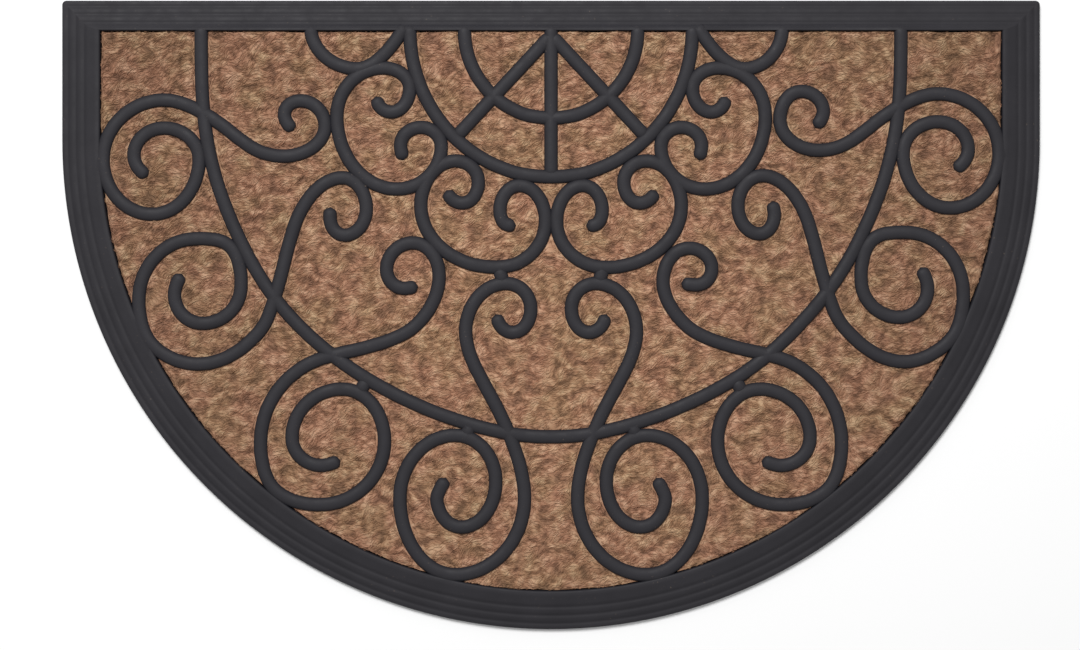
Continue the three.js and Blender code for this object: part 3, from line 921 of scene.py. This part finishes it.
def fibres_tree(smooth_lines, border_gap, tufts):
    """Scatters fibres over the pad, combed by a slow swirl and turned along the edges beside them."""
    tree, start, end = mesh_tree("Loose coir fibres", ["Pad", "Bars"], [
        "Density", "Length", "Width", "Clearance", "Draw Back", "Edge Wander", "Tuft Size", "Rise",
        "Side"], {"Strands": "Collection", "Seed": "Int"})
    seed = start["Seed"]
    place = made(tree, "GeometryNodeInputPosition")
    facing = split(tree, made(tree, "GeometryNodeInputNormal"))["Z"]
    this_side = maths(tree, "GREATER_THAN", times(tree, split(tree, place)["X"], start["Side"]), 0.0)
    chosen = times(tree, maths(tree, "GREATER_THAN", facing, STEEPEST_SCATTERED), this_side)
    scatter = add(tree, "GeometryNodeDistributePointsOnFaces", {
        "Mesh": object_geometry(tree, start["Pad"]), "Selection": chosen, "Density": start["Density"],
        "Seed": seed}).outputs
    # Kept off the bars, off the gap along the border and off the pad's steep edge
    distance, nearest, level = bar_distance(tree, smooth_lines, start["Bars"], start["Clearance"], place)
    border = place_group(tree, border_gap, {"Place": level})
    back = edge_distance(tree, level, start["Draw Back"], start["Edge Wander"])
    room = minus(tree, border["Gap"], back)
    beyond = minus(tree, distance, start["Clearance"])
    free = maths(tree, "MINIMUM", beyond, room)
    steep = maths(tree, "LESS_THAN", split(tree, scatter["Normal"])["Z"], STEEPEST_KEPT)
    barred = maths(tree, "MAXIMUM", maths(tree, "LESS_THAN", free, 0.0), steep)
    points = made(tree, "GeometryNodeDeleteGeometry", {"Geometry": scatter["Points"],
                                                       "Selection": barred})
    # Direction: a swirl and a little chance, turned along the edge that is near
    swirl = minus(tree, noise(tree, level, SWIRL_SIZE, detail=1.0), NOISE_MIDDLE)
    angle = plus(tree, times(tree, swirl, SWIRL_TURN), chance(tree, -STRAY_TURN, STRAY_TURN, seed))
    ahead = combined(tree, maths(tree, "COSINE", angle), maths(tree, "SINE", angle))
    by_border = maths(tree, "LESS_THAN", room, beyond)
    from_bar = vector_maths(tree, "NORMALIZE", vector_maths(tree, "SUBTRACT", level, nearest))
    away = blended(tree, by_border, from_bar, border["Outward"])
    beside = vector_maths(tree, "CROSS_PRODUCT", away, (0, 0, 1))
    same_way = maths(tree, "SIGN", vector_maths(tree, "DOT_PRODUCT", ahead, beside))
    loose = ranged(tree, free, 0.0, COMBED_WIDTH, smooth=True)
    way = blended(tree, loose, scaled(tree, beside, same_way), ahead)
    upward = vector_maths(tree, "ADD", scatter["Normal"], (0, 0, LEVELLING))
    turn = made(tree, "FunctionNodeAxesToRotation", {0: upward, 1: way}, primary_axis="Z",
                secondary_axis="X")
    tilt = made(tree, "FunctionNodeRandomValue", {0: [-most for most in TILTS], 1: TILTS, "Seed": seed},
                data_type="FLOAT_VECTOR")
    turn = made(tree, "FunctionNodeRotateRotation", {0: turn, 1: tilt}, rotation_space="LOCAL")
    # Size: shorter beside an edge
    long = times(tree, start["Length"], chance(tree, *LENGTH_SHARES, seed))
    long = times(tree, long, ranged(tree, free, 0.0, COMBED_WIDTH, SHORTEST_BESIDE, 1.0))
    thick = times(tree, start["Width"], chance(tree, *WIDTH_SHARES, seed))
    size = combined(tree, long, thick, thick)
    # Raised with its tuft, and given painted shade beside an edge, where the coir dips
    tuft = place_group(tree, tufts, {"Place": level, "Size": start["Tuft Size"]})["Height"]
    rise = combined(tree, z=times(tree, tuft, start["Rise"]))
    pressed = ranged(tree, free, 0.0, EDGE_SHADE_WIDTH, EDGE_SHADE_DEPTH, 0.0, smooth=True)
    points = stored(tree, points, "pressed", pressed, "POINT")
    points = made(tree, "GeometryNodeSetPosition", {"Geometry": points, "Offset": rise})
    strands = made(tree, "GeometryNodeCollectionInfo", {"Collection": start["Strands"],
                                                        "Separate Children": True})
    instances = made(tree, "GeometryNodeInstanceOnPoints", {
        "Points": points, "Instance": strands, "Pick Instance": True, "Rotation": turn, "Scale": size})
    darker = made(tree, "GeometryNodeInputNamedAttribute", {"Name": "pressed"}, data_type="FLOAT")
    # A fibre's own random tone, less the painted shade beside an edge
    tone = minus(tree, chance(tree, 0.0, 1.0, seed), darker)
    return finish_tree(tree, stored(tree, instances, "tone", tone, "INSTANCE"), start, end)


# Operators, the panel and the run


class DOORMAT_OT_moulding(bpy.types.Operator):
    """Makes the rubber moulding: border, sheet and bars in one body"""

    bl_idname = "doormat.moulding"
    bl_label = "Rubber moulding"

    def execute(self, context):
        settings = context.scene.doormat_moulding
        border = new_piece("Border", border_mesh(settings))
        piece = centre_line_piece()
        piece.name = "Rubber_Moulding"
        run_tree(piece, bars_tree(shared_group("Smooth lines", smooth_lines_tree)), {
            "Border": border, "Half Width": settings.bar_half_width, "Height": settings.bar_height,
            "Step": settings.bar_step,
            "Material": rubber_material(settings, shared_group("Grain", grain_group))})
        piece.data.set_sharp_from_angle(angle=SHARP_ANGLE)
        remove_piece(border)
        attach(piece, "root")
        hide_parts("rubber_moulding")
        return {"FINISHED"}


class DOORMAT_OT_coir(bpy.types.Operator):
    """Makes the matted coir pad and the fibres that lie loose on it"""

    bl_idname = "doormat.coir"
    bl_label = "Coir pad and fibres"

    def execute(self, context):
        settings = context.scene.doormat_coir
        half_width = context.scene.doormat_moulding.bar_half_width
        grain = shared_group("Grain", grain_group)
        smooth_lines = shared_group("Smooth lines", smooth_lines_tree)
        border_gap = border_gap_tree()
        tufts = tuft_group("GeometryNodeTree")
        colours = coir_colour_group(tuft_group("ShaderNodeTree"))
        lines = centre_line_piece()
        shared = {"Bars": lines, "Draw Back": settings.draw_back, "Edge Wander": settings.edge_wander,
                  "Tuft Size": settings.tuft_size}
        pad = new_piece("Coir_Pad", pad_mesh())
        run_tree(pad, pad_tree(smooth_lines, border_gap, tufts), {
            **shared, "Bar Half Width": half_width, "Press Width": settings.press_width,
            "Tuft Height": settings.tuft_height, "Clump Height": settings.clump_height,
            "Material": coir_material(settings, "Matted coir", None, grain, colours)})
        fibre_material = coir_material(settings, "Coir fibre", "tone", grain, colours)
        scatter = fibres_tree(smooth_lines, border_gap, tufts)
        flat_area = math.pi * COIR_HIGH.x ** 2 / 2 + 2 * COIR_HIGH.x * (COIR_HIGH.y - ARC_CENTRE_Y)
        layers = (("Lower", SIMPLE_STRANDS, settings.lower_count, LOWER_RISE),
                  ("Upper", BOWED_STRANDS, settings.upper_count, UPPER_RISE))
        fibres = []
        for layer, shapes, count, rise in layers:
            strands = strand_collection(f"{layer}_Strands", shapes)
            density = count / (flat_area / 2) * SCATTER_SURPLUS
            for side_name, side in (("Left", -1.0), ("Right", 1.0)):
                piece = new_piece(f"Coir_Fibres_{layer}_{side_name}")
                run_tree(piece, scatter, {
                    **shared, "Pad": pad, "Strands": strands, "Density": density,
                    "Length": settings.fibre_length, "Width": settings.fibre_width,
                    "Clearance": half_width + FIBRE_GAP, "Rise": rise, "Side": side,
                    "Seed": settings.seed + len(fibres), "Material": fibre_material})
                fibres.append(piece)
        for piece in fibres:
            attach(piece, "root")
        remove_piece(lines)
        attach(pad, "root")
        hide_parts("coir_pad")
        return {"FINISHED"}


class DOORMAT_OT_stage(bpy.types.Operator):
    """Makes the floor, the soft light and the camera straight above the mat"""

    bl_idname = "doormat.stage"
    bl_label = "Floor, light and camera"

    # The mat's middle in the photograph, and the photograph's own middle, in its pixels
    MAT_PIXEL = (551.0, 315.0)
    FRAME_PIXEL = (540.0, 325.0)
    FRAME_WIDTH = 1080
    FLOOR_HALF = 4.0
    FLOOR_DROP = 0.00005
    FLOOR_PATCH_SIZE = 0.4
    FLOOR_SHADES = (0.99, 1.0)
    FLOOR_ROUGHNESS = 0.9
    FLOOR_SHINE = 0.1
    LAMP_PLACE = (-0.5, 1.5, 2.6)
    LAMP_SIZE = 1.3

    def execute(self, context):
        settings = context.scene.doormat_stage
        scene = context.scene
        scene.view_settings.view_transform = "Standard"
        floor = new_piece("Floor")
        half = self.FLOOR_HALF
        corners = [(-half, -half), (half, -half), (half, half), (-half, half)]
        floor.data.from_pydata([(x, y, -self.FLOOR_DROP) for x, y in corners], [], [(0, 1, 2, 3)])
        material, tree, shader, place = new_material("Floor")
        tone = ranged(tree, noise(tree, place, self.FLOOR_PATCH_SIZE), 0.0, 1.0, *self.FLOOR_SHADES)
        colour = tinted(tree, rgba(settings.floor_colour), tone)
        feed_shader(tree, shader, colour, self.FLOOR_ROUGHNESS, self.FLOOR_SHINE)
        floor.data.materials.append(material)

        world = bpy.data.worlds.new("Studio")
        world.use_nodes = True
        sky = world.node_tree.nodes["Background"]
        sky.inputs["Color"].default_value = rgba(WHITE)
        sky.inputs["Strength"].default_value = settings.sky_strength
        scene.world = world

        lamp_data = bpy.data.lights.new("Soft_Lamp", "AREA")
        lamp_data.shape = "DISK"
        lamp_data.size = self.LAMP_SIZE
        lamp_data.energy = settings.lamp_power
        lamp = new_piece("Soft_Lamp", lamp_data)
        lamp.location = self.LAMP_PLACE
        lamp.rotation_euler = (-lamp.location).to_track_quat("-Z", "Y").to_euler()

        camera_data = bpy.data.cameras.new("Camera")
        camera_data.lens = camera_data.sensor_width * settings.camera_height / settings.view_width
        camera = new_piece("Camera", camera_data)
        pixel = settings.view_width / self.FRAME_WIDTH
        camera.location = ((self.FRAME_PIXEL[0] - self.MAT_PIXEL[0]) * pixel,
                           (self.MAT_PIXEL[1] - self.FRAME_PIXEL[1]) * pixel, settings.camera_height)
        scene.camera = camera
        return {"FINISHED"}


class DOORMAT_PT_pieces(bpy.types.Panel):
    """Lists the doormat's pieces and their settings"""

    bl_idname = "DOORMAT_PT_pieces"
    bl_label = "Half-round doormat"
    bl_space_type = "VIEW_3D"
    bl_region_type = "UI"
    bl_category = "Doormat"

    def draw(self, context):
        scene = context.scene
        rows = ((DOORMAT_OT_moulding, scene.doormat_moulding), (DOORMAT_OT_coir, scene.doormat_coir),
                (DOORMAT_OT_stage, scene.doormat_stage))
        for operator, settings in rows:
            box = self.layout.box()
            for name in settings.__annotations__:
                box.prop(settings, name)
            box.operator(operator.bl_idname)


CLASSES = (MouldingSettings, CoirSettings, StageSettings, DOORMAT_OT_moulding, DOORMAT_OT_coir,
           DOORMAT_OT_stage, DOORMAT_PT_pieces)


def register():
    for cls in CLASSES:
        bpy.utils.register_class(cls)
    bpy.types.Scene.doormat_moulding = PointerProperty(type=MouldingSettings)
    bpy.types.Scene.doormat_coir = PointerProperty(type=CoirSettings)
    bpy.types.Scene.doormat_stage = PointerProperty(type=StageSettings)


def unregister():
    del bpy.types.Scene.doormat_stage
    del bpy.types.Scene.doormat_coir
    del bpy.types.Scene.doormat_moulding
    for cls in reversed(CLASSES):
        bpy.utils.unregister_class(cls)


def main():
    register()
    bpy.ops.doormat.stage()
    bpy.ops.doormat.moulding()
    bpy.ops.doormat.coir()


if __name__ == "__main__":
    main()
